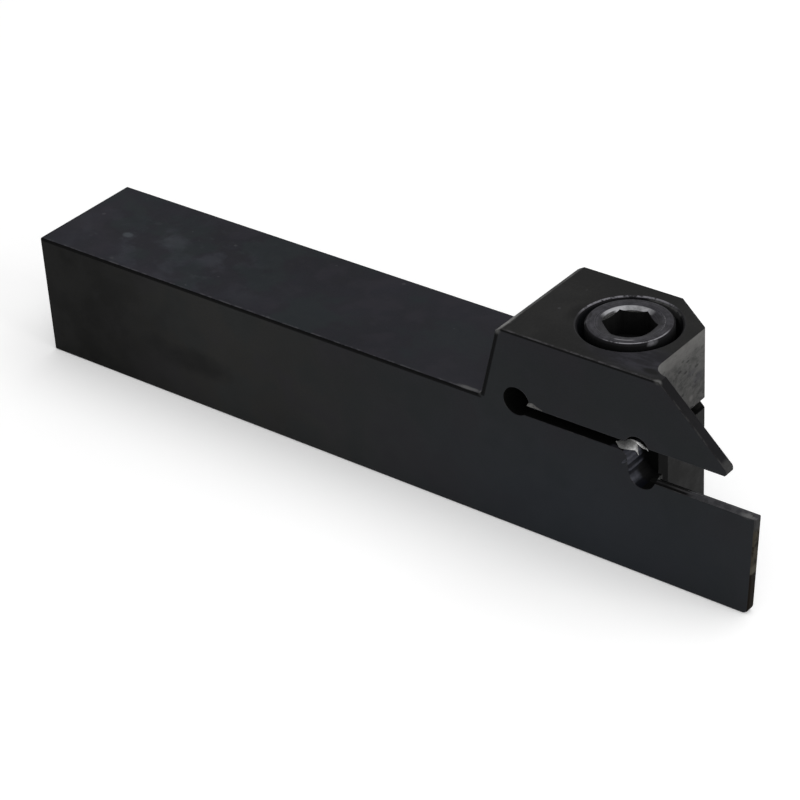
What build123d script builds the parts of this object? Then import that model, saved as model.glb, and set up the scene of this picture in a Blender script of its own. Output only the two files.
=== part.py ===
"""External grooving tool holder: one-piece steel body with a spring-cut clamp, and its clamp screw.

Frame: +X points to the cutting end, +Z up, +Y away from the blade side.
The origin is at the centre of the footprint, on the underside of the shank.
"""
from build123d import *
from math import cos, radians, sin, tan
import os

os.makedirs("parts", exist_ok=True)

# ---- Shank ----
shank_size = 16.0            # square section
shank_length = 67.3          # rear face to the foot of the head
shank_edge_break = 0.15      # chamfer along the long edges
rear_edge_break = 0.15       # chamfer round the rear face

# ---- Head ----
head_rise = 9.4              # top of the shank to the top of the head
head_length = 21.5           # foot of the head to the front of the full-width body
head_lean = 14.6             # forward lean of the head's rear wall, degrees
head_rear_break_run = 0.8    # chamfer at the top of that wall, along X
head_rear_break_drop = 0.45  # and down Z
head_foot_radius = 0.8       # fillet where the wall meets the shank
corner_cut_run = 5.4         # plan chamfer on the far front corner, along X
corner_cut_depth = 4.0       # and along Y
corner_cut_radius = 0.3      # softening of the chamfer's front corner

# ---- Lower jaw (the seat blade) ----
seat_reach = 13.75            # front of the full-width body to the tip of the seat
seat_thickness = 1.2
seat_height = 12.5           # underside of the holder to the seat
front_relief = 3.5           # backward lean of the front face, degrees
front_toe_radius = 0.9       # rounding of the bottom front corner
seat_edge_break = 0.15

# ---- Upper jaw (the clamping beak) ----
jaw_gap = 4.15               # seat to clamping face
beak_thickness = 1.4
beak_crest = 1.85            # front of the full-width body to where the beak starts to fall
beak_reach = 10.1            # front of the full-width body to the blunt tip
beak_tip_height = 0.7        # blunt tip, above the clamping face
beak_tip_break = 0.15

# ---- Jaw roots and V ribs ----
root_radius = 1.9            # concave radius between each jaw and the body front
rib_height = 0.3             # V rib along the seat and along the clamping face
rib_width = 0.8
rib_setback = 0.6            # from each end of the jaw

# ---- Insert pocket ----
pocket_depth = 3.5           # across the width, from the blade side
pocket_bevel_width = 1.1     # bevel on the pocket's inner front corner, across the width
pocket_bevel_run = 0.5       # and back along X
pocket_bevel_foot = 3.0      # how far it runs on down the front, below the seat
upper_lobe_back = 0.975      # relief lobe behind the clamping face: back from the body front
upper_lobe_drop = 0.53       # and below the clamping face
upper_lobe_radius = 1.55
lower_lobe_back = 0.325      # relief lobe at the back of the seat: back from the body front
lower_lobe_rise = 0.52       # and above the seat
lower_lobe_radius = 1.7
slot_lip_radius = 0.85       # the spring cut's floor rounds down into the pocket
slot_mouth_run = 3.0         # stretch of the cut, back from the lobe, drawn with the pocket

# ---- Spring cut ----
slot_gap = 1.3               # its upper wall is in line with the clamping face
slot_end_back = 16.6         # relief hole that ends the cut, back from the body front
slot_end_rise = 0.8          # and above the middle of the cut
slot_end_radius = 1.75

# ---- Clamp screw, M6 socket head ----
screw_back = 7.3             # screw axis, back from the body front
screw_offset = 0.45          # axis off the shank's middle plane, towards +Y
screw_diameter = 6.0
screw_length = 16.0          # under the head
head_diameter = 9.85
screw_head_height = 6.0
head_edge_round = 0.35
head_stand_up = 0.25         # head top above the holder's top
hex_across_flats = 5.35
hex_depth = 3.4
hex_mouth_diameter = 7.0     # bevelled mouth of the socket, at the top of the head
hex_mouth_slope = 30.0       # of that bevel, degrees from level
hex_turn = 24.5              # rest angle of the socket, degrees
screw_tip_chamfer = 0.7

# ---- Fits and bores ----
thread_clearance = 0.05      # radial, screw in its tapped bore
head_seat_clearance = 0.02   # head underside above the counterbore floor
shank_clearance = 0.3        # radial, screw in the upper jaw's bore
counterbore_clearance = 0.8  # radial, round the screw head
counterbore_bevel = 0.3
tapped_mouth_bevel = 0.4     # bore mouth on the underside

# ---- Derived positions ----
body_length = shank_length + head_length
rear_x = -(body_length + seat_reach) / 2
near_y = -shank_size / 2
far_y = shank_size / 2
body_front_x = rear_x + body_length
front_x = body_front_x + seat_reach
head_foot_x = rear_x + shank_length
head_height = shank_size + head_rise
beak_underside = seat_height + jaw_gap
beak_tip_x = body_front_x + beak_reach
beak_top_x = body_front_x + beak_crest
beak_tip_top = beak_underside + beak_tip_height
front_bottom_x = front_x - seat_height * tan(radians(front_relief))
wall_top_z = head_height - head_rear_break_drop
wall_top_x = head_foot_x + (wall_top_z - shank_size) * tan(radians(head_lean))
head_top_x = wall_top_x + head_rear_break_run
upper_lobe = (body_front_x - upper_lobe_back, beak_underside - upper_lobe_drop)
lower_lobe = (body_front_x - lower_lobe_back, seat_height + lower_lobe_rise)
slot_ceiling = beak_underside
slot_floor = slot_ceiling - slot_gap
slot_end = (body_front_x - slot_end_back, slot_floor + slot_gap / 2 + slot_end_rise)
screw_axis_x = body_front_x - screw_back
screw_top_z = head_height + head_stand_up
screw_underhead_z = screw_top_z - screw_head_height
screw_tip_z = screw_underhead_z - screw_length
counterbore_floor = screw_underhead_z - head_seat_clearance
counterbore_radius = head_diameter / 2 + counterbore_clearance
jaw_bore_radius = screw_diameter / 2 + shank_clearance
tapped_radius = screw_diameter / 2 + thread_clearance
near_plane = Plane.XZ.offset(-near_y)
screw_plane = Plane.XZ.offset(-screw_offset)
screw_axis = Axis((screw_axis_x, screw_offset, 0), (0, 0, 1))


def jaw_plan(thickness):
    """Plan outline of a jaw with its concave root, drawn from the blade side inwards."""
    inner_y = near_y + thickness
    root_y = inner_y + root_radius
    root_x = body_front_x + root_radius
    back_x = body_front_x - root_radius
    mid_x = root_x - root_radius * cos(radians(45))
    mid_y = root_y - root_radius * sin(radians(45))
    Polyline((body_front_x, root_y), (back_x, root_y), (back_x, near_y), (front_x + 1, near_y),
             (front_x + 1, inner_y), (root_x, inner_y))
    ThreePointArc((root_x, inner_y), (mid_x, mid_y), (body_front_x, root_y))


# ---- Upper jaw blank: plan outline cut to the beak's side view ----
with BuildPart() as upper_jaw:
    with BuildSketch(Plane.XY.offset(beak_underside)):
        with BuildLine():
            jaw_plan(beak_thickness)
        make_face()
    extrude(amount=head_height - beak_underside)
    with BuildSketch(near_plane):
        with BuildLine():
            Polyline((body_front_x - root_radius, beak_underside), (beak_tip_x, beak_underside),
                     (beak_tip_x, beak_tip_top), (beak_top_x, head_height),
                     (body_front_x - root_radius, head_height), close=True)
        make_face()
    extrude(amount=-shank_size, mode=Mode.INTERSECT)
    tip_edges = upper_jaw.edges().filter_by(Axis.Y).sort_by(Axis.X)[-2:]
    chamfer(tip_edges, beak_tip_break)

# ---- Lower jaw blank: plan outline cut to the seat blade's side view ----
with BuildPart() as lower_jaw:
    with BuildSketch(Plane.XY):
        with BuildLine():
            jaw_plan(seat_thickness)
        make_face()
    extrude(amount=seat_height)
    with BuildSketch(near_plane):
        with BuildLine():
            Polyline((body_front_x - root_radius, 0), (front_bottom_x, 0), (front_x, seat_height),
                     (body_front_x - root_radius, seat_height), close=True)
        make_face()
    extrude(amount=-shank_size, mode=Mode.INTERSECT)
    under_edge = lower_jaw.edges().filter_by(Axis.X).group_by(Axis.Z)[0].sort_by(Axis.Y)[0]
    chamfer(under_edge, shank_edge_break)
    toe_edge = lower_jaw.edges().filter_by(Axis.Y).group_by(Axis.Z)[0].sort_by(Axis.X)[-1]
    fillet(toe_edge, front_toe_radius)
    front_sides = lower_jaw.faces().sort_by(Axis.X)[-1].edges().filter_by(Axis.Y, reverse=True)
    chamfer(front_sides, seat_edge_break)

# ---- Holder body ----
with BuildPart() as holder_body:
    # Side view of shank and head, full width
    with BuildSketch(near_plane):
        with BuildLine():
            Polyline((rear_x, 0), (body_front_x, 0), (body_front_x, head_height),
                     (head_top_x, head_height), (wall_top_x, wall_top_z),
                     (head_foot_x, shank_size), (rear_x, shank_size), close=True)
        make_face()
    extrude(amount=-shank_size)

    # Fillet at the foot of the head
    foot_edges = holder_body.edges().filter_by(Axis.Y).filter_by_position(
        Axis.X, head_foot_x - 0.01, head_foot_x + 0.01)
    fillet(foot_edges, head_foot_radius)

    # Plan chamfer on the far front corner, full height
    with BuildSketch(Plane.XY):
        with BuildLine():
            Polyline((body_front_x - corner_cut_run, far_y), (body_front_x, far_y - corner_cut_depth),
                     (body_front_x + 1, far_y - corner_cut_depth), (body_front_x + 1, far_y + 1),
                     (body_front_x - corner_cut_run, far_y + 1), close=True)
        make_face()
    extrude(amount=head_height, mode=Mode.SUBTRACT)
    corner_edge = holder_body.edges().filter_by(Axis.Z).group_by(Axis.X)[-1].sort_by(Axis.Y)[-1]
    fillet(corner_edge, corner_cut_radius)

    # Edge breaks: long edges of the shank, then the rear face
    shank_edges = holder_body.edges().filter_by(Axis.X).filter_by_position(
        Axis.Z, -0.01, shank_size + 0.01)
    chamfer(shank_edges, shank_edge_break)
    chamfer(holder_body.faces().sort_by(Axis.X)[0].edges(), rear_edge_break)

    # Jaws
    add(upper_jaw.part)
    add(lower_jaw.part)

    # Insert pocket, open to the blade side and to the front
    with BuildSketch(near_plane) as pocket_outline:
        with Locations(upper_lobe):
            Circle(upper_lobe_radius)
        with Locations(lower_lobe):
            Circle(lower_lobe_radius)
        make_hull(pocket_outline.edges())
        with BuildLine():
            Polyline((lower_lobe[0], seat_height), (front_x + 1, seat_height), (front_x + 1, beak_underside),
                     (lower_lobe[0], beak_underside), close=True)
        make_face()
        with BuildLine():
            Polyline((upper_lobe[0] - slot_mouth_run, slot_floor), (upper_lobe[0], slot_floor),
                     (upper_lobe[0], slot_ceiling), (upper_lobe[0] - slot_mouth_run, slot_ceiling), close=True)
        make_face()
        lip_corner = pocket_outline.vertices().sort_by_distance((upper_lobe[0] - upper_lobe_radius, slot_floor))[0]
        fillet(lip_corner, slot_lip_radius)
    extrude(amount=-pocket_depth, mode=Mode.SUBTRACT)

    # Bevel where the pocket's inner wall meets the body's front face
    pocket_wall_y = near_y + pocket_depth
    with BuildSketch(Plane.XY.offset(seat_height - pocket_bevel_foot)):
        with BuildLine():
            Polyline((body_front_x - pocket_bevel_run, pocket_wall_y),
                     (body_front_x, pocket_wall_y + pocket_bevel_width),
                     (body_front_x + 1, pocket_wall_y + pocket_bevel_width),
                     (body_front_x + 1, pocket_wall_y), close=True)
        make_face()
    extrude(amount=pocket_bevel_foot + jaw_gap, mode=Mode.SUBTRACT)

    # Spring cut across the full width, with its end hole
    with BuildSketch(near_plane):
        with BuildLine():
            Polyline((slot_end[0], slot_floor), (body_front_x + root_radius, slot_floor),
                     (body_front_x + root_radius, slot_ceiling), (slot_end[0], slot_ceiling), close=True)
        make_face()
        with Locations(slot_end):
            Circle(slot_end_radius)
    extrude(amount=-shank_size, mode=Mode.SUBTRACT)

    # Screw hole: counterbore and clearance bore in the upper jaw, tapped bore through the lower
    with BuildSketch(screw_plane):
        with BuildLine():
            Polyline((screw_axis_x, 0), (screw_axis_x + tapped_radius + tapped_mouth_bevel, 0),
                     (screw_axis_x + tapped_radius, tapped_mouth_bevel),
                     (screw_axis_x + tapped_radius, slot_floor), (screw_axis_x + jaw_bore_radius, slot_ceiling),
                     (screw_axis_x + jaw_bore_radius, counterbore_floor),
                     (screw_axis_x + counterbore_radius, counterbore_floor),
                     (screw_axis_x + counterbore_radius, head_height - counterbore_bevel),
                     (screw_axis_x + counterbore_radius + counterbore_bevel, head_height),
                     (screw_axis_x, head_height), close=True)
        make_face()
    revolve(axis=screw_axis, mode=Mode.SUBTRACT)

    # V ribs that centre the insert, on the seat and under the beak
    rib_centre_y = near_y + seat_thickness / 2
    rib_start_x = body_front_x + rib_setback
    with BuildSketch(Plane.YZ.offset(rib_start_x)):
        with BuildLine():
            Polyline((rib_centre_y - rib_width / 2, seat_height), (rib_centre_y, seat_height + rib_height),
                     (rib_centre_y + rib_width / 2, seat_height), close=True)
        make_face()
    extrude(amount=front_x - rib_setback - rib_start_x)
    with BuildSketch(Plane.YZ.offset(rib_start_x)):
        with BuildLine():
            Polyline((rib_centre_y - rib_width / 2, beak_underside),
                     (rib_centre_y, beak_underside - rib_height),
                     (rib_centre_y + rib_width / 2, beak_underside), close=True)
        make_face()
    extrude(amount=beak_tip_x - rib_setback - rib_start_x)

holder_body.part.label = "holder_body"
export_step(holder_body.part, "parts/holder_body.step")

# ---- Clamp screw ----
with BuildPart() as clamp_screw:
    # Head, shank and chamfered tip, turned about the screw axis
    with BuildSketch(screw_plane):
        with BuildLine():
            Polyline((screw_axis_x, screw_tip_z),
                     (screw_axis_x + screw_diameter / 2 - screw_tip_chamfer, screw_tip_z),
                     (screw_axis_x + screw_diameter / 2, screw_tip_z + screw_tip_chamfer),
                     (screw_axis_x + screw_diameter / 2, screw_underhead_z),
                     (screw_axis_x + head_diameter / 2, screw_underhead_z),
                     (screw_axis_x + head_diameter / 2, screw_top_z),
                     (screw_axis_x, screw_top_z), close=True)
        make_face()
    revolve(axis=screw_axis)
    rim = clamp_screw.edges().filter_by(GeomType.CIRCLE).group_by(Axis.Z)[-1]
    fillet(rim, head_edge_round)

    # Hex socket with a bevelled mouth
    screw_top = Plane.XY.offset(screw_top_z)
    with BuildSketch(screw_top):
        with Locations((screw_axis_x, screw_offset)):
            RegularPolygon(hex_across_flats / 2, 6, major_radius=False, rotation=hex_turn)
    extrude(amount=-hex_depth, mode=Mode.SUBTRACT)
    mouth_drop = (hex_mouth_diameter - hex_across_flats) / 2 * tan(radians(hex_mouth_slope))
    with Locations((screw_axis_x, screw_offset, screw_top_z - mouth_drop / 2)):
        Cone(bottom_radius=hex_across_flats / 2, top_radius=hex_mouth_diameter / 2,
             height=mouth_drop, mode=Mode.SUBTRACT)

clamp_screw.part.label = "clamp_screw"
export_step(clamp_screw.part, "parts/clamp_screw.step")
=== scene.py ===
"""Grooving tool holder: looks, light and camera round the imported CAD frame. Sizes in mm, scene in metres."""
import bpy
import bmesh
import math
from mathutils import Matrix, Vector


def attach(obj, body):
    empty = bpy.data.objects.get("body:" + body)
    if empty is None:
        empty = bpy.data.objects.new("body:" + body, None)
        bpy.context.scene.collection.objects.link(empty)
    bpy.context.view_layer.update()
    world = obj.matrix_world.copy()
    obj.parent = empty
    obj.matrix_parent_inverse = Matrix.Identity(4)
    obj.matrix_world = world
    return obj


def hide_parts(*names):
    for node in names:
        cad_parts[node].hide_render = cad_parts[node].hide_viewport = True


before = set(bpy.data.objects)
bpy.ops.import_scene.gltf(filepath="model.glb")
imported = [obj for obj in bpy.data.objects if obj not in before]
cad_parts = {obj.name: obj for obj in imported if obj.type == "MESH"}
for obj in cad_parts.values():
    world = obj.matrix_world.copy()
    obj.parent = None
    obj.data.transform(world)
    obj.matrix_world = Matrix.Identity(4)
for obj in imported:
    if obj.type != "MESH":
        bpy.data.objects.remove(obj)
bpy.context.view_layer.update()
scene = bpy.context.scene
MM = 0.001
BUMP_DEPTH = 0.02       # mm


# ---------------------------------------------------------------- node helpers
class Graph:
    """Small helper around a material's node tree."""

    def __init__(self, name):
        self.mat = bpy.data.materials.new(name)
        self.mat.use_nodes = True
        self.nt = self.mat.node_tree
        self.nt.nodes.clear()
        self.out = self.new("ShaderNodeOutputMaterial")
        self.bsdf = self.new("ShaderNodeBsdfPrincipled")
        self.link(self.bsdf.outputs[0], self.out.inputs["Surface"])
        coord = self.new("ShaderNodeTexCoord")
        self.mm = self.vec("MULTIPLY", coord.outputs["Object"], (1000, 1000, 1000))
        split = self.new("ShaderNodeSeparateXYZ")
        self.link(self.mm, split.inputs[0])
        self.x, self.y, self.z = split.outputs
        geo = self.new("ShaderNodeNewGeometry")
        self.normal = geo.outputs["True Normal"]
        nsplit = self.new("ShaderNodeSeparateXYZ")
        to_obj = self.new("ShaderNodeVectorTransform")
        to_obj.vector_type = "NORMAL"
        to_obj.convert_from = "WORLD"
        to_obj.convert_to = "OBJECT"
        self.link(self.normal, to_obj.inputs[0])
        self.link(to_obj.outputs[0], nsplit.inputs[0])
        self.nx, self.ny, self.nz = nsplit.outputs

    def new(self, kind, **props):
        node = self.nt.nodes.new(kind)
        for k, v in props.items():
            setattr(node, k, v)
        return node

    def link(self, a, b):
        self.nt.links.new(a, b)

    def put(self, socket, value):
        if isinstance(value, bpy.types.NodeSocket):
            self.link(value, socket)
        else:
            socket.default_value = value

    def math(self, op, a, b=0.0, c=0.0):
        node = self.new("ShaderNodeMath", operation=op)
        self.put(node.inputs[0], a)
        self.put(node.inputs[1], b)
        if op == "MULTIPLY_ADD":
            self.put(node.inputs[2], c)
        return node.outputs[0]

    def vec(self, op, a, b=(0, 0, 0)):
        node = self.new("ShaderNodeVectorMath", operation=op)
        self.put(node.inputs[0], a)
        self.put(node.inputs[1], b)
        return node.outputs["Value"] if op in ("LENGTH", "DOT_PRODUCT") else node.outputs[0]

    def noise(self, scale, detail=4.0, rough=0.55, vector=None, stretch=None, distort=0.0):
        v = vector or self.mm
        if stretch:
            v = self.vec("MULTIPLY", v, stretch)
        node = self.new("ShaderNodeTexNoise", noise_dimensions="3D")
        self.link(v, node.inputs["Vector"])
        node.inputs["Scale"].default_value = scale
        node.inputs["Detail"].default_value = detail
        node.inputs["Roughness"].default_value = rough
        node.inputs["Distortion"].default_value = distort
        return node.outputs["Fac"]

    def voronoi(self, scale, stretch=None):
        v = self.vec("MULTIPLY", self.mm, stretch) if stretch else self.mm
        node = self.new("ShaderNodeTexVoronoi")
        self.link(v, node.inputs["Vector"])
        node.inputs["Scale"].default_value = scale
        return node.outputs["Distance"]

    def ramp(self, fac, lo, hi, a=0.0, b=1.0):
        """Smooth step of fac between lo and hi, giving a to b."""
        node = self.new("ShaderNodeMapRange", interpolation_type="SMOOTHSTEP")
        self.put(node.inputs["Value"], fac)
        node.inputs["From Min"].default_value = lo
        node.inputs["From Max"].default_value = hi
        node.inputs["To Min"].default_value = a
        node.inputs["To Max"].default_value = b
        return node.outputs["Result"]

    def mix(self, fac, a, b):
        node = self.new("ShaderNodeMix", data_type="RGBA")
        self.put(node.inputs["Factor"], fac)
        self.put(node.inputs[6], a if isinstance(a, bpy.types.NodeSocket) else (*a, 1))
        self.put(node.inputs[7], b if isinstance(b, bpy.types.NodeSocket) else (*b, 1))
        return node.outputs[2]

    def fmix(self, fac, a, b):
        node = self.new("ShaderNodeMix", data_type="FLOAT")
        self.put(node.inputs["Factor"], fac)
        self.put(node.inputs[2], a)
        self.put(node.inputs[3], b)
        return node.outputs[0]

    def mul(self, *terms):
        out = terms[0]
        for t in terms[1:]:
            out = self.math("MULTIPLY", out, t)
        return out

    def blob(self, centre, radii, soft, wobble, wobble_scale):
        """1 inside an ellipsoid given in mm, falling to 0 at its edge, with a noisy outline."""
        v = self.vec("SUBTRACT", self.mm, centre)
        v = self.vec("DIVIDE", v, radii)
        d = self.vec("LENGTH", v)
        n = self.noise(wobble_scale, 5.0, 0.6)
        d = self.math("ADD", d, self.math("MULTIPLY", self.math("SUBTRACT", n, 0.5), wobble))
        return self.ramp(d, 1.0 - soft, 1.0 + soft, 1.0, 0.0)

    def edge_mask(self, radius, lo, hi):
        """1 along convex and concave edges, from a bevelled normal."""
        bev = self.new("ShaderNodeBevel", samples=8)
        bev.inputs["Radius"].default_value = radius * MM
        d = self.vec("DOT_PRODUCT", bev.outputs[0], self.normal)
        return self.ramp(self.math("SUBTRACT", 1.0, d), lo, hi)

    def bump(self, height, strength, radius=None):
        """Fine relief from height; a radius also rounds the shading of edges."""
        node = self.new("ShaderNodeBump")
        self.put(node.inputs["Height"], height)
        node.inputs["Strength"].default_value = strength
        node.inputs["Distance"].default_value = BUMP_DEPTH * MM
        if radius:
            bev = self.new("ShaderNodeBevel", samples=8)
            bev.inputs["Radius"].default_value = radius * MM
            self.link(bev.outputs[0], node.inputs["Normal"])
        self.link(node.outputs[0], self.bsdf.inputs["Normal"])

    def surface(self, metallic, specular, roughness):
        """Set the shader's own sockets; a roughness or metallic that varies is linked."""
        self.put(self.bsdf.inputs["Metallic"], metallic)
        self.bsdf.inputs["Specular IOR Level"].default_value = specular
        self.put(self.bsdf.inputs["Roughness"], roughness)
        return self.mat


# ---------------------------------------------------------------- sizes of the frame, in mm
NEAR_Y = -8.0                    # blade side of the tool
BODY_FRONT_X = 37.525            # front face of the full-width body
HEAD_REAR = (0.2605, 11.857)     # rear wall of the head: X per mm of Z, and X at Z 0
RELIEF_HOLE = (20.925, 16.8, 1.75)   # centre X, Z and radius
LOBE_LOW = (37.2, 13.02, 1.7)    # relief lobe at the back of the seat: centre X, Z and radius
LIP = (34.380, 14.5, 0.85)       # rounding of the spring cut's floor: centre X, Z and radius
WALL_TILT = math.radians(9.13)   # the pocket's rear wall, off the vertical
LIP_RUN = LIP[2] * (math.pi / 2 - WALL_TILT)
WALL_RUN = 1.909                 # flat stretch between the rounding and the lower lobe
POCKET_BACK_Y = -4.5
BORE_RADIUS = 3.05
# the clamp screw
SCREW_AXIS = (30.225, 0.45)      # X and Y
SCREW_TOP_Z = 25.65
UNDERHEAD_Z = 19.65
SCREW_TIP_Z = 3.65
HEAD_RADIUS = 4.925
HEAD_ROUND = 0.30                # rounding of the head's upper edge
HEAD_COLUMNS = 192
KNURL = (0.0, 0.0, 0.15, 0.15)   # depths of the knurl, column by column
MOUTH_RADIUS = 3.40              # bevelled mouth of the socket
MOUTH_SLOPE = math.radians(28)
HALF_FLATS = 2.675               # hexagon of the socket
HEX_TURN = math.radians(24.5)
SOCKET_DEPTH = 3.3
TIP_RADIUS = 2.3
PITCH = 1.0
THREAD_COLUMNS = 96


def heading(degrees):
    """Level unit vector at an angle from +X."""
    return (math.cos(math.radians(degrees)), math.sin(math.radians(degrees)), 0)


def round_axis(r, angle, z):
    """Point at a radius and an angle round the screw's axis."""
    return (SCREW_AXIS[0] + r * math.cos(angle), SCREW_AXIS[1] + r * math.sin(angle), z)


# ---------------------------------------------------------------- body material
def body_material():
    g = Graph("black_oxide_body")
    broad = g.noise(0.05, 3.0, 0.5)
    mid = g.noise(0.30, 5.0, 0.6)
    fine = g.noise(4.0, 3.0, 0.6)
    tone = g.math("ADD", g.mul(broad, 0.45), g.math("ADD", g.mul(mid, 0.35), g.mul(fine, 0.20)))
    up = g.ramp(g.nz, 0.5, 0.9)
    near = g.ramp(g.ny, -0.88, -0.96)
    side = g.mix(g.ramp(tone, 0.38, 0.62), (0.0118, 0.0127, 0.0145), (0.0166, 0.0180, 0.0206))
    hue = g.noise(0.13, 3.0, 0.5)
    warm = g.mix(g.ramp(tone, 0.38, 0.62), (0.0138, 0.0137, 0.0130), (0.0196, 0.0195, 0.0186))
    side = g.mix(g.ramp(g.x, 15.0, -25.0), side, warm)
    side = g.mix(g.mul(g.ramp(hue, 0.50, 0.64), 0.5), side, (0.0150, 0.0140, 0.0172))
    side = g.mix(g.mul(g.ramp(hue, 0.50, 0.38), 0.5), side, (0.0118, 0.0140, 0.0150))
    shank_tone = g.mix(g.ramp(tone, 0.38, 0.62), (0.0120, 0.0120, 0.0156), (0.0178, 0.0180, 0.0236))
    head_tone = g.mix(g.ramp(tone, 0.38, 0.62), (0.0100, 0.0100, 0.0100), (0.0196, 0.0194, 0.0190))
    col = g.mix(up, side, g.mix(g.ramp(g.z, 20.0, 22.0), shank_tone, head_tone))
    # painted shade: the sides darken towards the rear end, where the lamps' light falls off
    rear = g.mul(g.ramp(g.x, -21.0, -46.0), g.ramp(g.nz, 0.6, 0.3))
    col = g.mix(rear, col, (0.0013, 0.0013, 0.0010))
    # and the low front of the blade side is the bluest
    cool = g.mul(g.blob((30.0, NEAR_Y, 3.5), (17.0, 2.0, 8.0), 0.8, 0.8, 0.12), near)
    col = g.mix(g.mul(cool, 0.7), col, (0.0146, 0.0178, 0.0226))

    # handling marks: pale blotches and specks on the shank top, dark smears on the near side
    low_top = g.mul(up, g.ramp(g.z, 16.4, 16.1))
    patch = g.ramp(g.noise(0.26, 4.0, 0.58, distort=0.2), 0.46, 0.66)
    zone = g.blob((-35.5, -2.0, 16.0), (15.0, 7.0, 4.0), 0.7, 0.8, 0.15)
    col = g.mix(g.mul(low_top, patch, zone, 0.62), col, (0.032, 0.034, 0.043))
    clouds = g.noise(0.16, 3.0, 0.55)
    col = g.mix(g.mul(g.ramp(clouds, 0.50, 0.62), low_top, 0.45), col, (0.0150, 0.0215, 0.0225))
    col = g.mix(g.mul(g.ramp(clouds, 0.48, 0.36), low_top, 0.45), col, (0.0225, 0.0205, 0.0275))
    streaks = g.ramp(g.noise(0.9, 4.0, 0.6, stretch=(0.5, 1.0, 1.0), distort=0.2), 0.58, 0.76)
    col = g.mix(g.mul(streaks, low_top, zone, 0.4), col, (0.040, 0.044, 0.050))
    spots = g.math("MAXIMUM", g.blob((-42.4, -1.6, 16.0), (0.68, 0.50, 1.0), 0.40, 0.6, 1.2),
                   g.mul(g.blob((-36.0, -0.1, 16.0), (1.6, 1.5, 1.0), 0.6, 1.3, 0.9), 0.45))
    col = g.mix(g.mul(spots, low_top, 0.65), col, (0.056, 0.064, 0.072))
    speck_d = g.voronoi(0.42)
    specks = g.mul(g.ramp(speck_d, 0.13, 0.08, 0.0, 1.0), g.ramp(g.noise(0.5), 0.54, 0.62), up)
    col = g.mix(g.mul(specks, 0.30), col, (0.075, 0.075, 0.080))
    # the shank top grows paler towards the head
    bright_end = g.mul(low_top, g.ramp(g.x, -2.0, 12.0))
    col = g.mix(g.mul(bright_end, 0.35), col, (0.0245, 0.0245, 0.0305))
    smear = g.math("MAXIMUM", g.blob((-27.3, NEAR_Y, 5.9), (5.4, 1.0, 1.5), 0.55, 1.0, 0.45),
                   g.math("MAXIMUM", g.blob((-39.6, NEAR_Y, 6.9), (2.4, 1.0, 1.0), 0.6, 1.0, 0.5),
                          g.blob((-33.2, NEAR_Y, 6.7), (2.2, 1.0, 1.3), 0.6, 1.0, 0.5)))
    col = g.mix(g.mul(smear, near, 0.72), col, (0.0036, 0.0037, 0.0038))

    # painted sheen: a streaked painted highlight on the front of the head top
    painted_sheen = g.mul(g.blob((35.0, -5.0, 25.4), (5.5, 2.3, 1.0), 0.5, 0.6, 0.3), up, g.ramp(g.z, 25.3, 25.38))
    sheen_streaks = g.ramp(g.noise(1.2, 4.0, 0.6, stretch=(0.35, 1.0, 1.0), distort=0.3), 0.40, 0.66)
    col = g.mix(g.mul(painted_sheen, 0.75), col, g.mix(sheen_streaks, (0.0130, 0.0125, 0.0165), (0.0300, 0.0290, 0.0370)))

    # dark patches on the head top, one by its near front corner and one beside the screw's seat
    dark_patch = g.math("MAXIMUM", g.blob((37.5, -6.55, 25.4), (0.95, 0.50, 0.6), 0.5, 0.4, 0.9),
                   g.mul(g.blob((24.2, -0.5, 25.4), (0.9, 1.6, 0.6), 0.7, 0.8, 0.6), 0.7))
    col = g.mix(g.mul(dark_patch, up, 0.85), col, (0.0045, 0.0045, 0.0045))

    # front of the full-width body: ground and pitted above the slot, darker below it as painted shade
    on_front = g.mul(g.ramp(g.nx, 0.6, 0.9), g.ramp(g.x, 36.5, 37.0), g.ramp(g.x, 38.2, 37.8))
    upper = g.ramp(g.z, 16.2, 16.9)
    grain = g.noise(1.6, 7.0, 0.68, stretch=(1.0, 0.5, 1.0))
    front_col = g.mix(g.ramp(grain, 0.36, 0.64), (0.030, 0.030, 0.029), (0.064, 0.063, 0.061))
    pit_d = g.voronoi(1.0)
    pits = g.ramp(g.math("ADD", pit_d, g.mul(g.noise(1.7), 0.45)), 0.30, 0.38, 1.0, 0.0)
    front_col = g.mix(g.mul(pits, 0.7), front_col, (0.010, 0.010, 0.010))
    pale = g.mul(g.ramp(g.noise(0.45, 4.0, 0.6), 0.50, 0.68), 0.6)
    front_col = g.mix(pale, front_col, (0.066, 0.065, 0.062))
    dot_d = g.voronoi(1.5, stretch=(1.0, 0.45, 1.0))
    dot_zone = g.math("ADD", g.noise(0.9), g.ramp(g.y, 1.0, 6.0, 0.0, 0.12))
    dots = g.mul(g.ramp(dot_d, 0.32, 0.22, 0.0, 1.0), g.ramp(dot_zone, 0.39, 0.47))
    front_col = g.mix(g.mul(dots, 0.8), front_col, (0.007, 0.007, 0.007))
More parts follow.
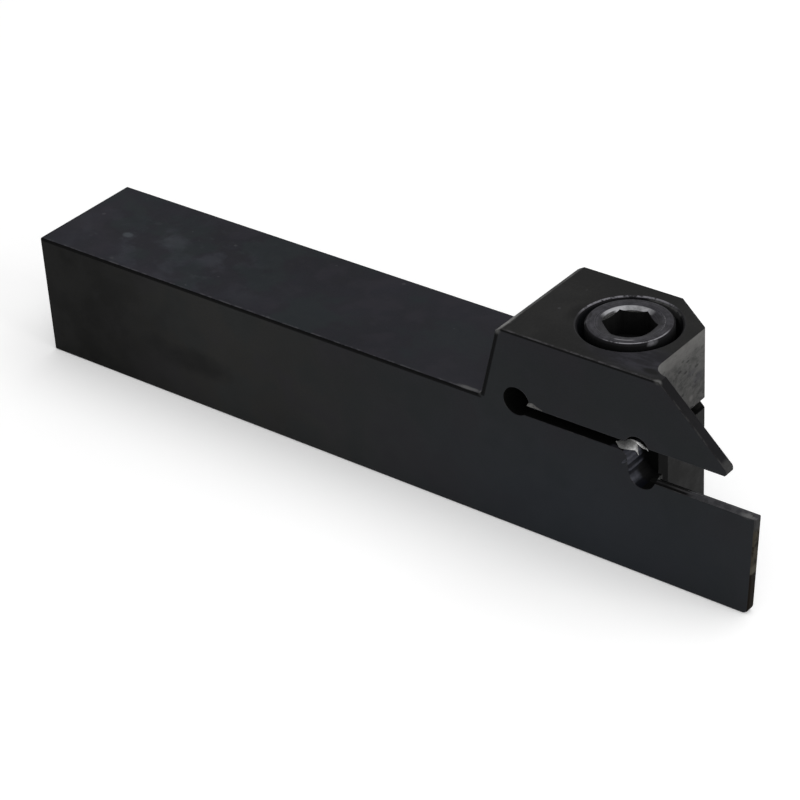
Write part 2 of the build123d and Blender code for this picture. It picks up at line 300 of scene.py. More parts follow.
    # painted shade darkening the face's lower part and painted light paling its top
    front_col = g.mix(g.ramp(g.z, 19.5, 25.0, 0.18, 0.0), front_col, (0.0, 0.0, 0.0))
    front_col = g.mix(g.ramp(g.z, 22.5, 25.0, 0.0, 0.55), front_col, (0.125, 0.122, 0.118))
    front_col = g.mix(g.mul(g.ramp(g.y, 0.5, 7.0), g.ramp(g.z, 20.0, 23.0), 0.35), front_col, (0.125, 0.124, 0.115))
    for y, z, wide, tall in ((1.4, 21.2, 0.8, 0.28), (2.6, 20.0, 1.0, 0.6)):
        shade = g.blob((BODY_FRONT_X, y, z), (1.0, wide, tall), 0.6, 0.9, 1.2)
        front_col = g.mix(g.mul(shade, 0.5), front_col, (0.026, 0.025, 0.030))
    corner = g.blob((BODY_FRONT_X, -5.2, 24.6), (1.0, 1.1, 0.9), 0.6, 0.4, 0.8)
    front_col = g.mix(g.mul(corner, 0.45), front_col, (0.125, 0.124, 0.120))
    spot = g.blob((BODY_FRONT_X, 1.17, 18.03), (1.0, 0.34, 0.32), 0.6, 0.9, 1.4)
    front_col = g.mix(spot, front_col, (0.080, 0.078, 0.075))
    # painted shade on the front below the slot, under the beak
    low_front_shade = g.mix(g.ramp(grain, 0.35, 0.65), (0.0012, 0.0012, 0.0012), (0.0036, 0.0036, 0.0035))
    col = g.mix(on_front, col, g.mix(upper, low_front_shade, front_col))
    # bevel between the pocket and the front, painted dark as shade
    pocket_bevel_shade = g.mul(g.ramp(g.nx, 0.80, 0.85), g.ramp(g.ny, -0.25, -0.35), g.ramp(g.x, 36.6, 36.9))
    col = g.mix(pocket_bevel_shade, col, (0.0014, 0.0014, 0.0014))
    # the beak's slope and the corner above it
    slope = g.mul(g.ramp(g.nx, 0.35, 0.45), g.ramp(g.nz, 0.35, 0.45), g.ramp(g.z, 17.0, 17.6))
    slope_col = g.mix(g.ramp(tone, 0.38, 0.62), (0.0060, 0.0058, 0.0066), (0.0092, 0.0089, 0.0098))
    col = g.mix(g.mul(slope, 0.9), col, slope_col)

    # insert seat: painted shade under the beak, with painted highlight lines on the rib's crest and near lip, and
    # painted light on the open tip
    on_seat = g.mul(g.ramp(g.nz, 0.6, 0.7), g.ramp(g.x, 38.80, 38.86),
                    g.ramp(g.z, 14.0, 13.5), g.ramp(g.z, 12.3, 12.45))
    seat_tip_light = g.mix(g.ramp(g.noise(1.4, 4.0, 0.6), 0.40, 0.62), (0.036, 0.036, 0.039), (0.056, 0.056, 0.060))
    crest = g.mul(g.ramp(g.y, -7.70, -7.62), g.ramp(g.y, -7.46, -7.54), g.ramp(g.x, 40.0, 42.0, 0.35, 1.0))
    lip = g.ramp(g.y, -7.90, -7.96)
    lines = g.math("MAXIMUM", crest, lip)
    seat_shade = g.mix(g.mul(lines, g.ramp(g.noise(0.8, 3.0, 0.6), 0.30, 0.46)),
                      (0.0016, 0.0016, 0.0016), (0.034, 0.033, 0.034))
    forward = g.ramp(g.math("ADD", g.x, g.mul(g.noise(0.8), 1.2)), 43.0, 44.4)
    col = g.mix(on_seat, col, g.mix(forward, seat_shade, seat_tip_light))

    # worn edges and painted light: pale broken line on the top side of each edge, part wear and part painted
    # highlight, and a dark painted shade line on the edge break itself
    bev = g.edge_mask(0.16, 0.015, 0.12)
    chipped = g.ramp(g.noise(0.55, 5.0, 0.65), 0.42, 0.62)
    thin = g.ramp(g.noise(2.2, 3.0, 0.6), 0.35, 0.65)
    lean = g.math("SUBTRACT", g.x, g.math("MULTIPLY_ADD", g.z, *HEAD_REAR))
    head_rear = g.mul(g.ramp(lean, 0.8, 0.5), g.ramp(g.y, -7.4, -7.6),
                      g.ramp(g.z, 15.9, 16.1), g.ramp(g.z, 25.0, 24.7))
    # pale edge line: part wear, part painted highlight
    wear_and_highlight = g.mul(bev, g.math("ADD", g.mul(chipped, thin, 0.85), 0.12), g.math("SUBTRACT", 1.0, head_rear))
    col = g.mix(g.mul(wear_and_highlight, 0.5), col, (0.075, 0.074, 0.072))
    shank_rim = g.mul(g.ramp(g.y, -7.55, -7.70), up, g.ramp(g.z, 16.3, 16.1), g.ramp(g.x, 15.8, 15.4))
    dings_and_glints = g.ramp(g.noise(1.3, 5.0, 0.7, stretch=(0.6, 1.0, 1.0)), 0.46, 0.56)
    col = g.mix(g.mul(shank_rim, g.math("ADD", g.mul(dings_and_glints, 0.60), 0.03)), col, (0.058, 0.058, 0.063))
    slope_rim = g.mul(slope, g.ramp(g.y, -7.72, -7.86))
    col = g.mix(g.mul(slope_rim, 0.22, dings_and_glints), col, (0.075, 0.074, 0.072))
    # painted highlight along the head's near top edge, broken by dings
    head_rim_highlight = g.mul(g.ramp(g.y, -7.62, -7.80), up, g.ramp(g.z, 25.2, 25.3))
    col = g.mix(g.mul(head_rim_highlight, g.math("ADD", g.mul(dings_and_glints, 0.60), 0.12)), col, (0.056, 0.055, 0.058))
    # painted shade lines on the edge breaks, under the rims and down the head's rear corner
    break_face = g.mul(g.ramp(g.ny, -0.5, -0.6), g.ramp(g.nz, 0.5, 0.6),
                       g.ramp(g.ny, -0.85, -0.8), g.ramp(g.x, 36.0, 35.0))
    under_rim = g.mul(near, g.math("MAXIMUM", g.mul(g.ramp(g.z, 15.58, 15.70), g.ramp(g.x, 16.3, 15.9)),
                                   g.ramp(g.z, 25.10, 25.20)))
    rear_corner = g.mul(g.math("MAXIMUM", near, g.ramp(g.y, -7.80, -7.90)), g.ramp(lean, 0.62, 0.44),
                        g.ramp(g.z, 15.9, 16.1), g.ramp(g.z, 25.0, 24.7))
    shade_lines = g.math("MAXIMUM", break_face, g.math("MAXIMUM", g.mul(under_rim, 0.9), g.mul(rear_corner, 0.9)))
    col = g.mix(g.mul(shade_lines, 0.95), col, (0.0020, 0.0020, 0.0020))
    glints = [((50.3, -7.70, 12.5), (0.8, 0.26, 0.25), 0.42), ((14.2, -7.55, 16.0), (1.3, 0.26, 0.3), 0.40),
              ((15.9, -7.6, 16.1), (0.3, 0.35, 0.35), 0.30), ((15.6, -4.9, 16.2), (0.25, 0.3, 0.3), 0.30),
              ((39.15, -7.80, 25.35), (0.42, 0.24, 0.3), 0.30),
              ((18.55, -6.3, 25.3), (0.55, 2.4, 0.6), 0.65)]
    for centre, radii, strength in glints:
        col = g.mix(g.mul(g.blob(centre, radii, 0.6, 0.9, 1.5), strength), col, (0.20, 0.20, 0.195))
    # brown handling rust down the blade's front end, rubbed pale near the corners down the blade's front edge
    blade_end = g.mul(g.ramp(g.nx, 0.45, 0.55), g.ramp(g.x, 46.8, 47.2), g.ramp(g.y, -6.6, -6.75))
    blotch = g.noise(1.3, 4.0, 0.65)
    rust = g.mix(g.ramp(blotch, 0.42, 0.58), (0.0075, 0.0058, 0.0036), (0.036, 0.031, 0.022))
    end_col = g.mix(g.ramp(g.z, 5.2, 5.5), (0.0060, 0.0038, 0.0018), (0.055, 0.050, 0.038))
    end_col = g.mix(g.ramp(g.z, 6.2, 6.6), end_col, rust)
    end_col = g.mix(g.ramp(g.z, 10.6, 11.6), end_col, g.mix(blotch, (0.018, 0.018, 0.018), (0.050, 0.050, 0.050)))
    col = g.mix(g.mul(blade_end, 0.9), col, end_col)

    # pale ring on the bevel round the screw head's seat: painted reflection on its far side, with painted shade in
    # the gap inside it
    from_axis = g.vec("LENGTH", g.vec("MULTIPLY", g.vec("SUBTRACT", g.mm, (*SCREW_AXIS, 0)), (1, 1, 0)))
    ring = g.mul(g.ramp(from_axis, 5.66, 5.70), g.ramp(from_axis, 6.08, 6.02), g.ramp(g.z, 25.0, 25.1))
    ring_edge = g.ramp(from_axis, 5.86, 5.92)
    # distance from the axis towards the far left, 1 at 6 mm
    far_side = g.math("MULTIPLY_ADD", g.math("SUBTRACT", g.x, SCREW_AXIS[0]), -0.61 / 6,
                      g.mul(g.math("SUBTRACT", g.y, SCREW_AXIS[1]), 0.79 / 6))
    lit = g.mul(g.ramp(far_side, 0.35, 0.75), g.ramp(g.noise(1.6, 4.0, 0.7), 0.36, 0.52))
    ring_col = g.mix(lit, (0.028, 0.028, 0.030), (0.20, 0.195, 0.215))
    ring_inner_shade = g.mix(g.ramp(far_side, -0.3, 0.3), (0.016, 0.016, 0.017), (0.004, 0.004, 0.005))
    ring_col = g.mix(ring_edge, ring_inner_shade, ring_col)
    col = g.mix(g.mul(ring, 0.9), col, ring_col)
    # wall of the counterbore: catches light on the far right
    right = g.math("DIVIDE", g.vec("DOT_PRODUCT", g.vec("SUBTRACT", g.mm, (*SCREW_AXIS, 0)), heading(76)), from_axis)
    wall = g.mul(g.ramp(from_axis, 5.50, 5.54), g.ramp(from_axis, 5.90, 5.86), g.ramp(g.z, 24.0, 24.6),
                 g.ramp(right, 0.86, 0.96), g.ramp(g.noise(1.6, 4.0, 0.7), 0.34, 0.5))
    col = g.mix(g.mul(wall, 0.8), col, (0.070, 0.070, 0.070))

    # pocket and cavities darkened as painted shade
    in_pocket = g.mul(g.ramp(g.x, 34.2, 34.4), g.ramp(g.y, -7.98, -7.92), g.ramp(g.z, 17.8, 17.7),
                      g.ramp(g.x, 38.95, 38.85), g.ramp(g.z, 11.1, 11.3), g.math("SUBTRACT", 1.0, on_front))
    hole = g.mul(g.ramp(g.vec("LENGTH", g.vec("SUBTRACT", g.vec("MULTIPLY", g.mm, (1, 0, 1)),
                                              (RELIEF_HOLE[0], 0, RELIEF_HOLE[1]))),
                        RELIEF_HOLE[2] + 0.10, RELIEF_HOLE[2] + 0.05),
                 g.ramp(g.y, -7.98, -7.92), g.ramp(g.y, 7.98, 7.92))
    slot_band = g.mul(g.ramp(g.z, 15.30, 15.34), g.ramp(g.z, 16.70, 16.66), g.ramp(g.x, 21.5, 22.0),
                      g.ramp(g.x, 37.5, 37.2), g.ramp(g.y, -7.98, -7.92), g.ramp(g.y, 3.5, 2.7))
    near_lip = g.mul(g.ramp(g.x, 33.0, 33.4), g.ramp(g.y, -7.3, -7.6))
    slot_band = g.mul(slot_band, g.math("SUBTRACT", 1.0, near_lip))
    # painted light on the slot's floor at its exit, where the narrow gap keeps the light out
    exit_floor_light = g.mul(g.ramp(g.y, 2.9, 3.4), g.ramp(g.x, 34.5, 35.5), g.ramp(g.x, 37.2, 37.0),
                       g.ramp(g.z, 15.25, 15.3), g.ramp(g.z, 15.5, 15.4))
    col = g.mix(exit_floor_light, col, (0.28, 0.27, 0.26))
    # painted shade in the pocket, relief hole and slot
    cavity_shade = g.math("MAXIMUM", g.mul(in_pocket, g.math("SUBTRACT", 1.0, on_seat)), g.math("MAXIMUM", hole, slot_band))
    col = g.mix(g.mul(cavity_shade, 0.97), col, (0.0011, 0.0012, 0.0009))
    g.link(col, g.bsdf.inputs["Base Color"])
    rough = g.fmix(g.ramp(mid, 0.35, 0.65), 0.42, 0.55)
    rough = g.fmix(g.math("MAXIMUM", shade_lines, g.math("MAXIMUM", cavity_shade, blade_end)), rough, 0.85)
    height = g.math("SUBTRACT", g.mul(g.noise(3.0, 4.0, 0.6), 0.5), g.mul(pits, on_front, upper, 1.5))
    g.bump(height, 0.25, radius=0.14)
    return g.surface(metallic=0.0, specular=0.07, roughness=rough)


def screw_material():
    g = Graph("screw_steel")
    centre = g.vec("SUBTRACT", g.mm, (*SCREW_AXIS, 0))
    flat = g.vec("MULTIPLY", centre, (1, 1, 0))
    radius = g.vec("LENGTH", flat)
    rings = g.noise(1.0, 4.0, 0.7, vector=g.vec("MULTIPLY", flat, (0.3, 0.3, 0)))
    lathe = g.new("ShaderNodeTexNoise", noise_dimensions="1D")
    g.link(radius, lathe.inputs["W"])
    lathe.inputs["Scale"].default_value = 9.0
    lathe.inputs["Detail"].default_value = 4.0
    mid = g.noise(0.9, 5.0, 0.65)
    fine = g.noise(6.0, 3.0, 0.6)
    tone = g.math("ADD", g.mul(mid, 0.45), g.math("ADD", g.mul(lathe.outputs["Fac"], 0.35), g.mul(fine, 0.20)))
    top = g.mul(g.ramp(g.nz, 0.3, 0.6), g.ramp(g.z, 24.8, 25.1))
    dark = g.mix(g.ramp(tone, 0.36, 0.64), (0.0025, 0.0025, 0.0025), (0.0055, 0.0055, 0.0055))
    bright = g.mix(g.ramp(tone, 0.38, 0.62), (0.0120, 0.0115, 0.0140), (0.0520, 0.0505, 0.0590))
    col = g.mix(top, dark, bright)

    def side_of(degrees):
        """Cosine of the angle round the axis from the given heading."""
        return g.math("DIVIDE", g.vec("DOT_PRODUCT", flat, heading(degrees)), g.math("MAXIMUM", radius, 0.1))

    def ring(inner, outer, soft=0.05):
        return g.mul(top, g.ramp(radius, inner - soft, inner + soft), g.ramp(radius, outer + soft, outer - soft))

    broken = g.ramp(mid, 0.34, 0.50)
    # bevel of the socket's mouth: painted highlight on the far side, painted shade inwards and on the near side
    mouth_highlight_col = g.mix(g.ramp(rings, 0.35, 0.6), (0.12, 0.12, 0.125), (0.31, 0.31, 0.325))
    mouth = g.mul(ring(2.87, 3.46), g.ramp(side_of(131), 0.40, 0.70))
    col = g.mix(g.mul(ring(2.0, 3.46), 0.6), col, (0.015, 0.0148, 0.017))
    col = g.mix(mouth, col, mouth_highlight_col)
    inward_shade = g.mul(ring(2.0, 2.87), g.ramp(side_of(150), 0.30, 0.60))
    inward_shade = g.math("MAXIMUM", inward_shade, g.mul(ring(2.0, 3.10), g.ramp(side_of(178), 0.88, 0.96)))
    inward_shade_col = g.mix(g.ramp(fine, 0.4, 0.6), (0.004, 0.004, 0.004), (0.034, 0.034, 0.032))
    col = g.mix(g.mul(inward_shade, 0.9), col, inward_shade_col)
    # painted highlights: arcs on the rim's right side and a line at the mouth's foot on the near side
    foot = g.mul(ring(3.84, 4.00, 0.04), g.ramp(side_of(-66), 0.95, 0.985))
    highlight_arcs = g.mul(ring(3.72, 3.86), g.ramp(side_of(30), 0.85, 0.97), g.ramp(fine, 0.40, 0.55))
    col = g.mix(g.mul(highlight_arcs, 0.8), col, (0.12, 0.118, 0.125))
    col = g.mix(g.mul(foot, 0.8), col, (0.24, 0.235, 0.25))
    # outer edge: rounding painted dark as shade except on its lit side, with a painted highlight line where it starts
    # on the near side and painted glints on it
    rounding = g.ramp(radius, 4.68, 4.73)
    lit_rim = g.ramp(side_of(86), 0.90, 0.97)
    col = g.mix(g.mul(rounding, g.fmix(lit_rim, 0.85, 0.1)), col, (0.0040, 0.0040, 0.0043))
    line = g.mul(ring(4.52, 4.68, 0.04), g.ramp(side_of(-43), 0.50, 0.85), broken)
    col = g.mix(g.mul(line, 0.9), col, (0.30, 0.295, 0.315))
    for degrees, r, strength in ((-29.8, 4.85, 0.6), (-24.0, 4.82, 0.35), (213.0, 4.76, 0.3)):
        spot = g.blob(round_axis(r, math.radians(degrees), 25.45), (0.24, 0.42, 0.25), 0.6, 1.2, 2.0)
        col = g.mix(g.mul(spot, strength), col, (0.17, 0.168, 0.18))
    g.link(col, g.bsdf.inputs["Base Color"])
    g.bump(g.math("ADD", g.mul(lathe.outputs["Fac"], 0.6), g.mul(fine, 0.4)), 0.22)
    rough = g.fmix(g.mul(top, g.math("SUBTRACT", 1.0, rounding)), 0.80, 0.36)
    return g.surface(metallic=g.mul(top, 0.25), specular=0.12, roughness=rough)


def bare_metal(name, low, high, rough):
    """Steel with its oxide rubbed off."""
    g = Graph(name)
    mid = g.noise(1.6, 5.0, 0.65)
    fine = g.noise(7.0, 3.0, 0.6)
    tone = g.math("ADD", g.mul(mid, 0.6), g.mul(fine, 0.4))
    g.link(g.mix(g.ramp(tone, 0.38, 0.60), low, high), g.bsdf.inputs["Base Color"])
    g.bump(fine, 0.3)
    return g.surface(metallic=0.3, specular=0.5, roughness=rough)


def assign(obj, mat):
    obj.data.materials.clear()
    obj.data.materials.append(mat)


BODY = body_material()
SCREW = screw_material()
assign(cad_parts["holder_body"], BODY)
assign(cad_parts["clamp_screw"], SCREW)


# ---------------------------------------------------------------- mesh helpers
def make_piece(name, verts, faces, mat, body, smooth):
    """A cleaned mesh from vertices in mm, riding on a CAD body; edges over smooth degrees stay sharp."""
    mesh = bpy.data.meshes.new(name)
    mesh.from_pydata([(x * MM, y * MM, z * MM) for x, y, z in verts], [], faces)
    bm = bmesh.new()
    bm.from_mesh(mesh)
    bmesh.ops.remove_doubles(bm, verts=bm.verts, dist=2e-7)
    bmesh.ops.dissolve_degenerate(bm, edges=bm.edges, dist=2e-7)
    bmesh.ops.delete(bm, geom=[v for v in bm.verts if not v.link_faces], context="VERTS")
    bmesh.ops.recalc_face_normals(bm, faces=bm.faces)
    for f in bm.faces:
        f.smooth = True
    for e in bm.edges:
        e.smooth = len(e.link_faces) == 2 and e.calc_face_angle(0) < math.radians(smooth)
    bm.to_mesh(mesh)
    bm.free()
    obj = bpy.data.objects.new(name, mesh)
    scene.collection.objects.link(obj)
    assign(obj, mat)
    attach(obj, body)
    return obj


def grid_faces(rows, columns, wrap=True, wrap_shift=0):
    """Quads of a grid of points kept row by row; a wrapped column can land some rows further on."""
    faces = []
    for i in range(rows - 1):
        for j in range(columns if wrap else columns - 1):
            k, shift = (j + 1, 0) if j + 1 < columns else (0, wrap_shift)
            if i + 1 + shift >= rows:
                continue
            a, b = i * columns + j, (i + shift) * columns + k
            faces.append((a, b, b + columns, a + columns))
    return faces


def helix_wall(z0, z1, profile, limit):
    """Points and faces of a screw thread; profile is (share of pitch, radius), limit(z, r) trims it."""
    turns = math.ceil((z1 - z0) / PITCH) + 2
    per = len(profile)
    rows = turns * per + 1
    verts = []
    for i in range(rows):
        share, radius = profile[i % per]
        for j in range(THREAD_COLUMNS):
            t = j / THREAD_COLUMNS
            z = min(max(z0 - PITCH + PITCH * (i // per + share + t), z0), z1)
            verts.append(round_axis(limit(z, radius), 2 * math.pi * t, z))
    return verts, grid_faces(rows, THREAD_COLUMNS, wrap_shift=per)


# ---------------------------------------------------------------- clamp screw
def screw_thread():
    """Thread below the head, pointed at the tip and let into the head at the top, with its end disc."""
    def limit(z, r):
        return min(r, TIP_RADIUS + (z - SCREW_TIP_Z)) if z < UNDERHEAD_Z - 1 else min(r, 2.7)

    profile = ((0.0, 2.98), (0.12, 2.98), (0.44, 2.42), (0.68, 2.42))
    verts, faces = helix_wall(SCREW_TIP_Z, UNDERHEAD_Z + 0.2, profile, limit)
    base, n = len(verts), THREAD_COLUMNS
    verts += [round_axis(TIP_RADIUS, 2 * math.pi * j / n, SCREW_TIP_Z) for j in range(n)]
    verts.append((*SCREW_AXIS, SCREW_TIP_Z))
    faces += [(base + j, base + n, base + (j + 1) % n) for j in range(n)]
    return verts, faces


def clamp_screw():
    """Hex socket cap screw: knurled head, bevelled socket mouth, drilled floor, M6 thread."""
    columns, rim, foot, top = HEAD_COLUMNS, HEAD_RADIUS, UNDERHEAD_Z, SCREW_TOP_Z
    # outline of the head as (radius, Z, whether it is knurled)
    outline = [(2.9, foot, 0), (rim - 0.35, foot, 0), (rim - 0.12, foot + 0.25, 0), (rim, foot + 0.40, 1),
               (rim, top - 1.75, 1), (rim, top - 1.55, 0)]
    outline += [(rim - HEAD_ROUND + HEAD_ROUND * math.cos(a), top - HEAD_ROUND + HEAD_ROUND * math.sin(a), 0)
                for a in [math.radians(d) for d in (0, 18, 36, 54, 72, 90)]]
    outline += [(MOUTH_RADIUS, top, 0)]

    def angle(j):
        return HEX_TURN + 2 * math.pi * j / columns

    def hex_radius(j):
        a = (2 * math.pi * j / columns) % (math.pi / 3)
        return HALF_FLATS / math.cos(a - math.pi / 6)

    verts = [round_axis(r - ribbed * KNURL[j % len(KNURL)], angle(j), z)
             for r, z, ribbed in outline for j in range(columns)]
    verts += [round_axis(hex_radius(j), angle(j), top - (MOUTH_RADIUS - hex_radius(j)) * math.tan(MOUTH_SLOPE))
              for j in range(columns)]
    verts += [round_axis(hex_radius(j), angle(j), top - SOCKET_DEPTH) for j in range(columns)]
    for r, depth in ((2.45, SOCKET_DEPTH + 0.1), (0.0, SOCKET_DEPTH + 0.8)):   # drilled floor
        verts += [round_axis(r, angle(j), top - depth) for j in range(columns)]
    faces = grid_faces(len(outline) + 4, columns)
    thread_verts, thread_faces = screw_thread()
    faces += [tuple(len(verts) + v for v in f) for f in thread_faces]
    verts += thread_verts
    screw = make_piece("clamp_screw_dressed", verts, faces, SCREW, "screw", smooth=32)
    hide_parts("clamp_screw")


def tapped_thread():
    """Thread left free in the bore below the screw's tip."""
    z0, z1, wall = 0.45, SCREW_TIP_Z - 0.35, BORE_RADIUS + 0.03
    profile = ((0.0, 2.55), (0.20, 2.55), (0.46, wall), (0.70, wall))
    verts, faces = helix_wall(z0, z1, profile, lambda z, r: max(r, wall - 1.6 * min(z - z0, z1 - z)))
    make_piece("tapped_thread", verts, faces, BODY, "holder", smooth=32)


clamp_screw()
tapped_thread()


# ---------------------------------------------------------------- pocket tool marks and rubbed spots
def wall_point(run, y, lift=0.0):
    """Point on the pocket's rear wall; run is mm along it from the slot's floor, lift is off the surface."""
    if run <= 0:
        return (LIP[0] + run, y, LIP[1] + LIP[2] + lift)
    if run <= LIP_RUN:
        a = math.pi / 2 - run / LIP[2]
        return (LIP[0] + (LIP[2] + lift) * math.cos(a), y, LIP[1] + (LIP[2] + lift) * math.sin(a))
    out = (math.cos(WALL_TILT), math.sin(WALL_TILT))
    if run <= LIP_RUN + WALL_RUN:
        down = run - LIP_RUN
        return (LIP[0] + (LIP[2] + lift) * out[0] + down * out[1], y,
                LIP[1] + (LIP[2] + lift) * out[1] - down * out[0])
    a = math.pi + WALL_TILT + (run - LIP_RUN - WALL_RUN) / LOBE_LOW[2]
    r = LOBE_LOW[2] - lift
    return (LOBE_LOW[0] + r * math.cos(a), y, LOBE_LOW[1] + r * math.sin(a))


def mark_tone(run):
    """Height and paleness of the cutter marks, 0 to 1, along the wall."""
    for (a, ta), (b, tb) in zip(MARK_STOPS, MARK_STOPS[1:]):
        if run <= b:
            f = max(0.0, (run - a) / (b - a))
            f = f * f * (3 - 2 * f)
            return ta + (tb - ta) * f
    return 0.0


def pocket_marks():
    """Scalloped cutter marks down the rear wall of the insert pocket."""
    first, last, steps = MARK_STOPS[0][0], MARK_STOPS[-1][0], 120
    ys = (NEAR_Y + 0.04, NEAR_Y + 0.22, -6.6, POCKET_BACK_Y - 0.02)
    verts = []
    for y, rise in zip(ys, (0.0, 0.10, 0.10, 0.05)):
        for i in range(steps + 1):
            run = first + (last - first) * i / steps
            verts.append(wall_point(run, y, 0.012 + rise * mark_tone(run)))
    make_piece("pocket_tool_marks", verts, grid_faces(len(ys), steps + 1, wrap=False), MARKS,
               "holder", smooth=60)


def smooth_line(points, widths):
    """Catmull-Rom points through a short list, with the widths carried along."""
    steps = 6
    pts = [Vector(p) for p in points]
    out, w = [], []
    for i in range(len(pts) - 1):
        p0, p1, p2, p3 = pts[max(i - 1, 0)], pts[i], pts[i + 1], pts[min(i + 2, len(pts) - 1)]
        for k in range(steps):
            t = k / steps
            out.append(0.5 * ((2 * p1) + (p2 - p0) * t + (2 * p0 - 5 * p1 + 4 * p2 - p3) * t * t
                              + (3 * p1 - p0 - 3 * p2 + p3) * t ** 3))
            w.append(widths[i] + (widths[i + 1] - widths[i]) * t)
    out.append(pts[-1])
    w.append(widths[-1])
    return out, w


def wall_patch(name, upper, lower, mat):
    """Slightly domed patch on the pocket's rear wall between two lines of (run, y)."""
    rows = [smooth_line([(r, y, 0) for r, y in side], [0.0] * len(side))[0] for side in (upper, lower)]
    verts = []
    for a, b in zip(*rows):
        for k in range(9):
            f = k / 8
            verts.append(wall_point(a[0] + (b[0] - a[0]) * f, a[1] + (b[1] - a[1]) * f,
                                    0.13 + 0.07 * (1 - (2 * f - 1) ** 2)))
    make_piece(name, verts, grid_faces(len(rows[0]), 9, wrap=False), mat, "holder", smooth=60)


def flat_sliver(name, line, y, mat):
    """Lens-shaped sliver on a wall that faces the blade side; line is a list of (x, z, half width)."""
    spine, widths = smooth_line([(x, y, z) for x, z, _ in line], [w for _, _, w in line])
    out, last, verts = Vector((0, -1, 0)), len(spine) - 1, []
    for i, p in enumerate(spine):
        along = (spine[min(i + 1, last)] - spine[max(i - 1, 0)]).normalized()
        across = along.cross(out).normalized()
        for s in range(9):
            f = s / 4 - 1
            verts.append(tuple(p + across * (widths[i] * f) + out * (0.06 * (1 - f * f) - 0.012)))
    make_piece(name, verts, grid_faces(len(spine), 9, wrap=False), mat, "holder", smooth=60)


def burrs():
    """Rubbed crescent on the slot floor's rounded lip, painted bright as a glint, with two prongs down the pocket,
    and small burrs.
    """
    wall_patch("lip_glint_lower",
               [(-1.05, -7.05), (-0.75, -6.50), (-0.35, -6.12), (0.05, -5.82), (0.55, -5.70), (1.00, -5.82),
                (1.45, -5.97), (1.93, -6.02)],
               [(-1.05, -7.12), (-0.60, -7.48), (-0.10, -7.88), (0.30, -7.80), (0.78, -7.15), (1.12, -6.52),
                (1.50, -6.22), (1.93, -6.06)], BARE)
    wall_patch("lip_glint_upper",
               [(-0.05, -5.88), (0.45, -5.60), (0.90, -5.26), (1.30, -4.94), (1.62, -4.70), (1.84, -4.54)],
               [(0.05, -6.00), (0.55, -5.86), (1.00, -5.62), (1.38, -5.30), (1.74, -4.98), (1.96, -4.60)], BARE)
    flat_sliver("lip_glint_back", [(35.36, 13.98, 0.13), (35.55, 13.84, 0.10), (35.74, 13.68, 0.03)],
                POCKET_BACK_Y, BARE)
    flat_sliver("pocket_edge_burr", [(34.62, 13.66, 0.04), (34.84, 13.88, 0.13), (35.05, 14.08, 0.18),
                                     (35.24, 14.28, 0.15)], NEAR_Y, MARKS)
    flat_sliver("slot_lip_burr", [(22.35, 16.74, 0.05), (22.7, 16.92, 0.27), (23.1, 16.98, 0.30), (23.6, 16.86, 0.17),
                                  (24.4, 16.75, 0.05)], NEAR_Y, RUBBED)


def marks_material():
    """Cutter marks: pale along each ridge, part wear and part painted highlight, and dark in the furrows between as
    painted shade.
    """
    g = Graph("pocket_marks_steel")
    on_wall = g.math("MULTIPLY_ADD", g.math("SUBTRACT", LIP[1] + LIP[2] * math.sin(WALL_TILT), g.z),
                     1 / math.cos(WALL_TILT), LIP_RUN)
    angle = g.math("ARCTAN2", g.math("SUBTRACT", g.z, LOBE_LOW[1]), g.math("SUBTRACT", g.x, LOBE_LOW[0]))
    on_lobe = g.math("MULTIPLY_ADD", angle, LOBE_LOW[2], (math.pi - WALL_TILT) * LOBE_LOW[2] + LIP_RUN + WALL_RUN)
    run = g.fmix(g.ramp(g.z, 12.72, 12.70), on_wall, on_lobe)
    length = MARK_STOPS[-1][0]
    stops = g.new("ShaderNodeValToRGB")
    stops.color_ramp.interpolation = "EASE"
    g.link(g.math("DIVIDE", g.math("ADD", run, g.mul(g.math("SUBTRACT", g.noise(1.6), 0.5), 0.35)), length),
           stops.inputs[0])
    elements = stops.color_ramp.elements
    while len(elements) < len(MARK_STOPS):
        elements.new(0.5)
    for element, (at, tone) in zip(elements, MARK_STOPS):
        element.position = at / length
        element.color = (tone, tone, tone, 1)
    grit = g.noise(2.2, 4.0, 0.65)
    tone = g.math("MULTIPLY", stops.outputs[0], g.ramp(grit, 0.2, 0.7, 0.7, 1.15))
    col = g.mix(tone, (0.0018, 0.0022, 0.0045), (0.064, 0.066, 0.080))
    # painted shade deep in the pocket, past the wall's inner end
    inner_end = g.ramp(g.z, 13.0, 12.5, -5.3, -6.5)
    col = g.mix(g.ramp(g.math("SUBTRACT", g.y, inner_end), 0.30, -0.35), (0.0014, 0.0014, 0.0015), col)
    g.link(col, g.bsdf.inputs["Base Color"])
    g.bump(grit, 0.3)
    return g.surface(metallic=0.0, specular=0.08, roughness=0.5)


# cutter marks down the pocket's rear wall: mm along it, and how pale and high the wall is there, the paleness partly
# a painted highlight and shade
MARK_STOPS = [(0.40, 0.35), (0.80, 0.60), (1.15, 0.30), (1.45, 0.75), (1.78, 0.40), (2.05, 0.62), (2.25, 0.02),
              (2.55, 0.02), (2.85, 0.65), (3.08, 0.02), (3.28, 0.02), (3.60, 0.45), (4.00, 0.80), (4.35, 0.40),
              (4.62, 0.0), (5.40, 0.0)]
MARKS = marks_material()
# the lip glints: rubbed steel painted bright as a highlight
BARE = bare_metal("bare_steel", (0.32, 0.32, 0.317), (0.52, 0.52, 0.515), 0.34)
RUBBED = bare_metal("rubbed_steel", (0.022, 0.0215, 0.021), (0.090, 0.088, 0.085), 0.45)
pocket_marks()
burrs()


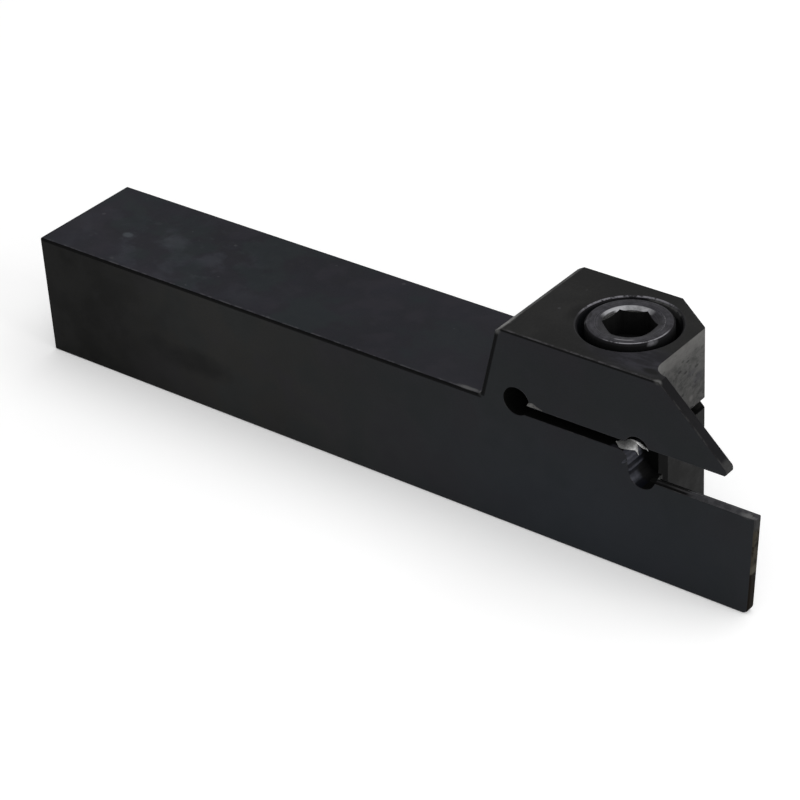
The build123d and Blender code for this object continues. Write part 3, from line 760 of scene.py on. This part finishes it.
# ---------------------------------------------------------------- stage
FLOOR_GLOW = 0.22      # the backdrop's own white, added where the camera or a reflection sees it
FLOOR_HALF = 1.6
FLOOR_COLOUR = (0.93, 0.93, 0.93)
WORLD_LEVEL = 0.48
PHOTO_PX = 800         # the photograph's width
FOCAL_PX = 2731.09     # and its focal length, from the fit


def floor_material():
    g = Graph("floor_white")
    n = g.noise(0.02, 3.0, 0.5)
    g.link(g.mix(g.ramp(n, 0.3, 0.7), [c * 0.99 for c in FLOOR_COLOUR], FLOOR_COLOUR), g.bsdf.inputs["Base Color"])
    g.surface(metallic=0.0, specular=0.1, roughness=0.9)
    path = g.new("ShaderNodeLightPath")
    seen = g.math("MAXIMUM", path.outputs["Is Camera Ray"], path.outputs["Is Glossy Ray"])
    glow = g.new("ShaderNodeEmission")
    glow.inputs["Strength"].default_value = FLOOR_GLOW
    none = g.new("ShaderNodeEmission")
    none.inputs["Strength"].default_value = 0.0
    pick = g.new("ShaderNodeMixShader")
    g.link(seen, pick.inputs[0])
    g.link(none.outputs[0], pick.inputs[1])
    g.link(glow.outputs[0], pick.inputs[2])
    both = g.new("ShaderNodeAddShader")
    g.link(g.bsdf.outputs[0], both.inputs[0])
    g.link(pick.outputs[0], both.inputs[1])
    g.link(both.outputs[0], g.out.inputs["Surface"])
    return g.mat


def add_floor():
    mesh = bpy.data.meshes.new("floor")
    s = FLOOR_HALF
    mesh.from_pydata([(-s, -s, 0), (s, -s, 0), (s, s, 0), (-s, s, 0)], [], [(0, 1, 2, 3)])
    floor = bpy.data.objects.new("floor", mesh)
    scene.collection.objects.link(floor)
    assign(floor, floor_material())


add_floor()

world = bpy.data.worlds.new("studio")
scene.world = world
world.use_nodes = True
wn = world.node_tree
wn.nodes.clear()
w_out = wn.nodes.new("ShaderNodeOutputWorld")
w_bg = wn.nodes.new("ShaderNodeBackground")
w_bg.inputs["Color"].default_value = (1, 1, 1, 1)
w_bg.inputs["Strength"].default_value = WORLD_LEVEL
wn.links.new(w_bg.outputs[0], w_out.inputs[0])


def area(name, loc, target, size, power):
    """Square lamp aimed at a point; metres and watts."""
    data = bpy.data.lights.new(name, "AREA")
    data.shape = "SQUARE"
    data.size = size
    data.energy = power
    ob = bpy.data.objects.new(name, data)
    scene.collection.objects.link(ob)
    ob.location = loc
    ob.rotation_euler = (Vector(target) - Vector(loc)).to_track_quat("-Z", "Y").to_euler()


area("top_soft", (0.10, 0.20, 0.90), (0.02, 0, 0.01), 0.9, 3.4)
area("front_soft", (0.48, 0.02, 0.20), (0.04, 0, 0.015), 0.30, 0.8)
area("near_soft", (0.30, -0.34, 0.22), (0.03, 0, 0.012), 0.22, 0.35)

# ---------------------------------------------------------------- camera
cam_data = bpy.data.cameras.new("camera")
cam_data.sensor_width = 36.0
cam_data.lens = cam_data.sensor_width * FOCAL_PX / PHOTO_PX
cam_data.clip_start = 0.01
cam_data.clip_end = 10
camera = bpy.data.objects.new("camera", cam_data)
scene.collection.objects.link(camera)
camera.matrix_world = Matrix((
    (0.791490, -0.288817, 0.538635, 0.171128),
    (0.608891, 0.448856, -0.654049, -0.210253),
    (-0.052869, 0.845644, 0.531123, 0.175630),
    (0, 0, 0, 1)))
scene.camera = camera
scene.view_settings.view_transform = "Standard"
